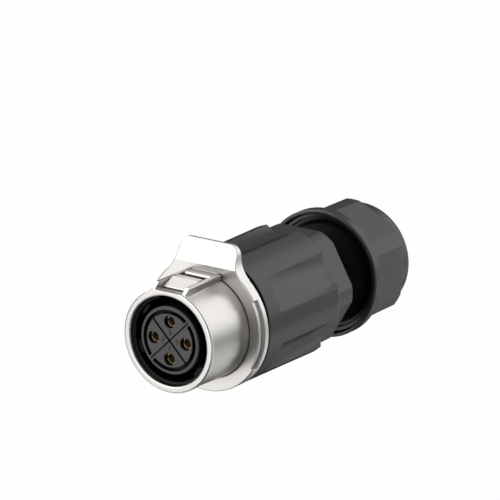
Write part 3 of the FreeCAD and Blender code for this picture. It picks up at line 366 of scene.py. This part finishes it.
def satin_nickel():
    """Satin nickel on die-cast zinc: fine grain, faint turning marks, slightly warm and uneven, with
    painted shade in narrow grooves and on what looks to the tab's side, most of all in corners."""
    colours = bpy.context.scene.plug_colours
    base = tuple(colours.nickel)
    metal = new_finish("satin_nickel_plate")
    grain = metal.noise(metal.place(), scale=7.0, detail=3.0, roughness=0.65)
    cloud = metal.noise(metal.place(), scale=0.22)
    turning = metal.noise(metal.around(turns=1.2, rise=5.0), scale=1.0, roughness=0.6)
    tone = metal.mix(cloud, shade(base, 0.96), shade(base, 1.04))
    # Painted shade: faces that look to the tab's side, and corners and narrow grooves, go towards a darker
    # copy of the nickel
    tabward = metal.node("SeparateXYZ", {}, {0: metal.node("TexCoord", output="Normal")}, output="Y")
    tab_side_shade_mask = metal.ramp(tabward, start=0.93, end=0.99)
    corner = (1.0 - metal.open_air(colours.corner)) * colours.corner_painted_shade
    groove = (1.0 - metal.open_air(colours.groove)) * colours.groove_painted_shade
    shadow = (corner + colours.tab_side_painted_shade) * tab_side_shade_mask + groove
    tone = metal.mix(shadow.clamped(), tone, shade(base, PAINTED_CORNER_SHADE_TONE))
    relief = grain * 0.7 + turning * 0.3
    rounded = metal.soft_edge(colours.cast_edge)
    normal = metal.bumps(relief, depth=0.006, strength=0.35, under=rounded)
    rough = 0.24 + grain * 0.10 + turning * 0.06
    return metal.finish(metal.principled(base_color=tone, metallic=1.0, roughness=rough, normal=normal))


def moulded(name, base, edge, grain_size, depth, rough, wear_and_highlight, shine=0.5, open_from=0.75, inside=False):
    """Moulded plastic with a spark-eroded grain and edges that are lighter from wear and a painted
    highlight, painted shade in hollows, less gloss at a flat angle, and painted shade that makes it nearly
    black inside the grip body and the gland nut."""
    colours = bpy.context.scene.plug_colours
    base = tuple(base)
    plastic = new_finish(name)
    grain = plastic.noise(plastic.place(), scale=1.0 / grain_size, detail=3.0, roughness=0.6)
    cloud = plastic.noise(plastic.place(), scale=0.12)
    rounded = plastic.soft_edge(edge)
    flat = plastic.node("NewGeometry", output="Normal")
    # Lighter, smoother edges: partly wear, partly a painted edge highlight
    worn_and_edge_highlight = ((1.0 - plastic.dot(rounded, flat)) * WEAR_AND_HIGHLIGHT_CONTRAST).clamped() * wear_and_highlight
    tone = plastic.mix(cloud, shade(base, 0.93), shade(base, 1.07))
    tone = plastic.mix(worn_and_edge_highlight, tone, shade(base, 1.9))
    # Painted shade: hollows, and the inside of grip body and gland nut away from its end wall, blend
    # towards the darker copy below
    clear_of_painted_shade = plastic.ramp(plastic.open_air(colours.hollow), open_from / 3, open_from)
    if inside:
        part = plastic.parts()
        outside = ((part["radius"] - colours.inside / MM) * INSIDE_FADE).clamped()
        end_wall = (colours.end_wall / MM - part["Z"]).clamped()
        clear_of_painted_shade = clear_of_painted_shade * (outside + end_wall + INSIDE_LEAST).clamped()
    askew = plastic.node("LayerWeight", {}, {"Blend": 0.5}, output="Facing")
    gloss = plastic.ramp(askew, start=0.48, end=0.64, low=1.0, high=0.45)
    normal = plastic.bumps(grain, depth, strength=0.5, under=rounded)
    uneven = rough + (grain - 0.5) * ROUGH_SPREAD - worn_and_edge_highlight * ROUGH_SPREAD
    glossy = plastic.principled(base_color=tone, roughness=uneven, normal=normal, specular_ior_level=shine)
    matt = plastic.principled(base_color=tone, **MATT)
    # Darker copy of the plastic that stands in for shade
    dark = plastic.principled(base_color=shade(base, PAINTED_HOLLOW_SHADE_TONE), **MATT)
    return plastic.finish(plastic.blend(clear_of_painted_shade, dark, plastic.blend(gloss, matt, glossy)))


def soft_rubber():
    """Matt black rubber with a dusty bloom."""
    colours = bpy.context.scene.plug_colours
    base = tuple(colours.rubber)
    rubber = new_finish("soft_rubber")
    bloom = rubber.noise(rubber.place(), scale=0.8, detail=3.0, roughness=0.6)
    grain = rubber.noise(rubber.place(), scale=5.0)
    tone = rubber.mix(bloom, base, shade(base, 2.2))
    normal = rubber.bumps(grain, depth=0.01, strength=0.4, under=rubber.soft_edge(colours.edge))
    return rubber.finish(rubber.principled(base_color=tone, roughness=0.65 + bloom * 0.15, normal=normal))


def turned_metal(name, base, rough):
    """Machined metal with fine turning marks."""
    colours = bpy.context.scene.plug_colours
    base = tuple(base)
    metal = new_finish(name)
    marks = metal.noise(metal.around(turns=0.6, rise=9.0), scale=1.0)
    stain = metal.noise(metal.place(), scale=0.5)
    tone = metal.mix(stain, shade(base, 0.9), shade(base, 1.08))
    normal = metal.bumps(marks, depth=0.005, strength=0.3, under=metal.soft_edge(colours.edge))
    rough = rough + marks * 0.12
    return metal.finish(metal.principled(base_color=tone, metallic=1.0, roughness=rough, normal=normal))


def dress(material, *nodes):
    """Gives CAD nodes a finish through their objects' own slots."""
    for name in nodes:
        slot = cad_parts[name].material_slots[0]
        slot.link = "OBJECT"
        slot.material = material


# Pieces made here


def plain_mesh(source, name):
    """New object that holds the evaluated mesh of another, at the origin, in place of it."""
    bpy.context.view_layer.update()
    mesh = bpy.data.meshes.new_from_object(source.evaluated_get(bpy.context.evaluated_depsgraph_get()))
    mesh.transform(source.matrix_world)
    mesh.name = name
    bpy.data.objects.remove(source)
    piece = bpy.data.objects.new(name, mesh)
    bpy.context.scene.collection.objects.link(piece)
    return piece


def thread_tree():
    """Geometry nodes for one thread: a ridge that follows a helix and runs out at both ends."""
    tree = bpy.data.node_groups.new("Thread ridge", "GeometryNodeTree")
    sockets = {}
    for name, kind in (("Helix radius", "Float"), ("Start", "Float"), ("Length", "Float"),
                       ("Turns", "Float"), ("Facets", "Int"), ("Crest", "Float"), ("Root", "Float"),
                       ("Depth", "Float"), ("Side turn", "Float"), ("Run-out", "Float"),
                       ("Finish", "Material")):
        made = tree.interface.new_socket(name, in_out="INPUT", socket_type="NodeSocket" + kind)
        sockets[name] = made.identifier
    tree.interface.new_socket("Geometry", in_out="OUTPUT", socket_type="NodeSocketGeometry")
    given = tree.nodes.new("NodeGroupInput")

    def step(kind, settings=None, inputs=None):
        """One node, with its settings and the values or links of its sockets."""
        made = tree.nodes.new(kind)
        for key, value in (settings or {}).items():
            setattr(made, key, value)
        for key, value in (inputs or {}).items():
            if isinstance(value, bpy.types.NodeSocket):
                tree.links.new(value, made.inputs[key])
            else:
                made.inputs[key].default_value = value
        return made

    def sum_of(operation, first, second):
        """Math node on two values."""
        return step("ShaderNodeMath", {"operation": operation}, {0: first, 1: second}).outputs[0]

    of = given.outputs
    helix = step("GeometryNodeCurveSpiral", {}, {
        "Resolution": of["Facets"], "Rotations": of["Turns"], "Start Radius": of["Helix radius"],
        "End Radius": of["Helix radius"], "Height": of["Length"], "Reverse": True})
    upright = step("GeometryNodeSetCurveNormal", {"mode": "Z_UP"}, {"Curve": helix.outputs[0]})
    along = step("GeometryNodeSplineParameter").outputs["Factor"]
    near_end = sum_of("MINIMUM", along, sum_of("SUBTRACT", 1.0, along))
    swell = sum_of("MINIMUM", sum_of("DIVIDE", near_end, of["Run-out"]), 1.0)
    ridge = step("GeometryNodeCurvePrimitiveQuadrilateral", {"mode": "TRAPEZOID"}, {
        "Bottom Width": of["Root"], "Top Width": of["Crest"], "Height": of["Depth"], "Offset": 0.0})
    lift = step("ShaderNodeCombineXYZ", {}, {"Y": sum_of("MULTIPLY", of["Depth"], 0.5)})
    based = step("GeometryNodeTransform", {}, {
        "Geometry": ridge.outputs[0], "Translation": lift.outputs[0]})
    spin = step("ShaderNodeCombineXYZ", {}, {"Z": of["Side turn"]})
    faced = step("GeometryNodeTransform", {}, {
        "Geometry": based.outputs[0], "Rotation": spin.outputs[0]})
    swept = step("GeometryNodeCurveToMesh", {}, {
        "Curve": upright.outputs[0], "Profile Curve": faced.outputs[0], "Scale": swell, "Fill Caps": True})
    rise = step("ShaderNodeCombineXYZ", {}, {"Z": of["Start"]})
    raised = step("GeometryNodeTransform", {}, {
        "Geometry": swept.outputs[0], "Translation": rise.outputs[0]})
    real = step("GeometryNodeRealizeInstances", {}, {"Geometry": raised.outputs[0]})
    coloured = step("GeometryNodeSetMaterial", {}, {
        "Geometry": real.outputs[0], "Material": of["Finish"]})
    last = tree.nodes.new("NodeGroupOutput")
    tree.links.new(coloured.outputs[0], last.inputs[0])
    return tree, sockets


def thread(name, sizes, material):
    """Inward thread ridge, half a pitch from the spigot's thread, between whose ridges it runs."""
    tree, sockets = thread_tree()
    holder = bpy.data.objects.new(name + "_path", bpy.data.meshes.new(name + "_path"))
    bpy.context.scene.collection.objects.link(holder)
    reach = sizes.end - sizes.start
    turns = reach / sizes.pitch
    values = {
        "Helix radius": sizes.root_radius, "Start": sizes.start, "Length": reach, "Turns": turns,
        "Facets": sizes.facets, "Crest": sizes.crest, "Root": sizes.crest + 2 * sizes.flank,
        "Depth": sizes.root_radius - sizes.crest_radius, "Side turn": math.radians(90.0),
        "Run-out": RUN_OUT_TURNS / turns, "Finish": material}
    ridge = holder.modifiers.new("Thread ridge", "NODES")
    ridge.node_group = tree
    for key, value in values.items():
        ridge[sockets[key]] = value
    holder.rotation_euler.z = 2 * math.pi * (sizes.start / sizes.pitch + 0.5)
    piece = plain_mesh(holder, name)
    for face in piece.data.polygons:
        face.use_smooth = True
    piece.data.set_sharp_from_angle(angle=math.radians(SHARP_DEGREES))
    return piece


def numeral(text, angle, material):
    """Raised numeral on the insert's face, upright when the thumb tab is up."""
    sizes = bpy.context.scene.plug_numerals
    curve = bpy.data.curves.new("numeral_" + text, "FONT")
    curve.body = text
    curve.size = sizes.height * LETTER_SIZE
    curve.align_x = "CENTER"
    curve.align_y = "CENTER"
    curve.extrude = sizes.relief
    curve.bevel_depth = sizes.relief * BEVEL_SHARE
    curve.bevel_resolution = 1
    holder = bpy.data.objects.new("numeral_%s_outline" % text, curve)
    bpy.context.scene.collection.objects.link(holder)
    holder.location = (sizes.circle * math.cos(angle), sizes.circle * math.sin(angle), INSERT_FACE)
    piece = plain_mesh(holder, "numeral_" + text)
    piece.data.materials.clear()
    piece.data.materials.append(material)
    return piece


# Operators


class PLUG_OT_metal_front(bpy.types.Operator):
    """Gives barrel, release ring, pins and springs their metal finishes"""

    bl_idname = "plug.metal_front"
    bl_label = "Metal front"

    def execute(self, context):
        nickel = satin_nickel()
        steel = turned_metal("plain_steel_finish", context.scene.plug_colours.steel, rough=0.25)
        dress(nickel, "front_shell", "release_ring")
        dress(steel, "pivot_pin_left", "pivot_pin_right", "latch_spring_left", "latch_spring_right",
              "terminal_screws")
        return {"FINISHED"}


class PLUG_OT_mouldings(bpy.types.Operator):
    """Gives grip body, gland nut and the inner mouldings their plastics"""

    bl_idname = "plug.mouldings"
    bl_label = "Mouldings"

    def execute(self, context):
        colours = context.scene.plug_colours
        grip = moulded("grip_moulding", colours.grip, colours.grip_edge, grain_size=0.14, depth=0.006,
                       rough=0.30, wear_and_highlight=0.80, shine=0.72, open_from=0.45, inside=True)
        liner = moulded("liner_moulding", colours.liner, colours.edge, grain_size=0.2, depth=0.008,
                        rough=0.45, wear_and_highlight=0.15, shine=0.25)
        dress(grip, "grip_body", "gland_nut")
        dress(liner, "clamp_cage", "thrust_washer", "rear_insulator", "keying_sleeve")
        return {"FINISHED"}


class PLUG_OT_seals(bpy.types.Operator):
    """Gives the seals their rubber"""

    bl_idname = "plug.seals"
    bl_label = "Seals"

    def execute(self, context):
        dress(soft_rubber(), "gland_seal", "shell_seal", "interface_seal")
        return {"FINISHED"}


class PLUG_OT_contacts(bpy.types.Operator):
    """Gives insert, contacts and retaining ring their finishes"""

    bl_idname = "plug.contacts"
    bl_label = "Insert and contacts"

    def execute(self, context):
        colours = context.scene.plug_colours
        insert = moulded("insert_moulding", colours.insert, colours.edge, grain_size=0.11, depth=0.015,
                         rough=0.5, wear_and_highlight=0.2)
        dress(insert, "contact_insert")
        sockets = [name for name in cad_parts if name.startswith("socket_contact")]
        dress(turned_metal("gold_flash", colours.gold, rough=0.42), *sockets)
        dress(turned_metal("turned_brass", colours.brass, rough=0.25), "insert_retainer")
        return {"FINISHED"}


class PLUG_OT_threads(bpy.types.Operator):
    """Makes the thread inside the gland nut"""

    bl_idname = "plug.threads"
    bl_label = "Nut's thread"

    def execute(self, context):
        piece = thread("nut_thread", context.scene.plug_threads, bpy.data.materials["grip_moulding"])
        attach(piece, "nut")
        return {"FINISHED"}


class PLUG_OT_numerals(bpy.types.Operator):
    """Makes the small numerals beside the contacts"""

    bl_idname = "plug.numerals"
    bl_label = "Numerals"

    def execute(self, context):
        insert = bpy.data.materials["insert_moulding"]
        for text, degrees in NUMERALS:
            piece = numeral(text, math.radians(degrees), insert)
            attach(piece, "plug_body")
        return {"FINISHED"}


class PLUG_OT_studio(bpy.types.Operator):
    """Makes the floor, the light and the camera"""

    bl_idname = "plug.studio"
    bl_label = "Studio"

    def execute(self, context):
        scene = context.scene
        scene.view_settings.view_transform = "Standard"
        self.floor(scene)
        self.surroundings(scene)
        self.camera(scene)
        return {"FINISHED"}

    def floor(self, scene):
        """Pale floor that the camera sees as white, and that takes a light shadow."""
        half = FLOOR_REACH * PLUG_LENGTH
        mesh = bpy.data.meshes.new("studio_floor")
        corners = [(-half, -half, 0), (half, -half, 0), (half, half, 0), (-half, half, 0)]
        mesh.from_pydata(corners, [], [(0, 1, 2, 3)])
        floor = bpy.data.objects.new("studio_floor", mesh)
        scene.collection.objects.link(floor)
        floor.visible_glossy = False
        paint = new_finish("floor_paint")
        seen = paint.node("LightPath", output="Is Camera Ray")
        pale = paint.node("BsdfDiffuse", {}, {"Color": (*scene.plug_studio.floor, 1.0)})
        white = paint.node("Emission", {}, {"Color": (*WHITE, 1.0), "Strength": 1.0})
        mesh.materials.append(paint.finish(paint.blend(seen * FLOOR_WHITE, pale, white)))

    def surroundings(self, scene):
        """Room of soft lights: white to the camera, and bright and dim zones to all else."""
        lights = scene.plug_studio
        world = bpy.data.worlds.new("studio_room")
        scene.world = world
        room = Shader(world)
        look = room.node("TexCoord", output="Generated")
        glow = lights.fill
        for name, aim, inner, outer in ROOM_LIGHTS:
            facing = room.dot(look, tuple(Vector(aim).normalized()))
            gone, full = math.cos(math.radians(outer)), math.cos(math.radians(inner))
            glow = room.ramp(facing, start=gone, end=full, high=getattr(lights, name)) + glow
        seen = room.node("LightPath", output="Is Camera Ray")
        strength = glow * (1.0 - seen) + seen
        light = room.node("Background", {}, {"Color": (*WHITE, 1.0), "Strength": strength})
        room.finish(light, "World")

    def camera(self, scene):
        """Long lens from above the mating end, turned so that the plug lies as in the photograph."""
        data = bpy.data.cameras.new("studio_camera")
        data.lens = LENS
        data.sensor_width = FILM_WIDTH
        data.clip_start = PLUG_LENGTH / 2
        data.clip_end = 100 * PLUG_LENGTH
        camera = bpy.data.objects.new("studio_camera", data)
        turn = Euler([math.radians(angle) for angle in CAMERA_TURN])
        camera.matrix_world = Matrix.LocRotScale(CAMERA_PLACE, turn, None)
        scene.collection.objects.link(camera)
        scene.camera = camera


class PLUG_PT_looks(bpy.types.Panel):
    """Sizes, colours and steps of the plug's looks"""

    bl_idname = "PLUG_PT_looks"
    bl_label = "Cable plug"
    bl_space_type = "VIEW_3D"
    bl_region_type = "UI"
    bl_category = "Cable plug"

    def draw(self, context):
        for group in GROUPS:
            values = getattr(context.scene, group)
            box = self.layout.box()
            for name in values.__annotations__:
                box.prop(values, name)
        for operator in OPERATORS:
            self.layout.operator(operator.bl_idname)


OPERATORS = (
    PLUG_OT_metal_front,
    PLUG_OT_mouldings,
    PLUG_OT_seals,
    PLUG_OT_contacts,
    PLUG_OT_threads,
    PLUG_OT_numerals,
    PLUG_OT_studio,
)
CLASSES = (*GROUPS.values(), *OPERATORS, PLUG_PT_looks)


def register():
    """Registers the classes and hangs the groups of sizes and colours on the scene."""
    for one in CLASSES:
        bpy.utils.register_class(one)
    for name, group in GROUPS.items():
        setattr(bpy.types.Scene, name, PointerProperty(type=group))


def unregister():
    """Takes away what register added."""
    for name in GROUPS:
        delattr(bpy.types.Scene, name)
    for one in reversed(CLASSES):
        bpy.utils.unregister_class(one)


def main():
    """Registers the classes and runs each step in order."""
    register()
    for operator in OPERATORS:
        group, name = operator.bl_idname.split(".")
        getattr(getattr(bpy.ops, group), name)()


if __name__ == "__main__":
    main()
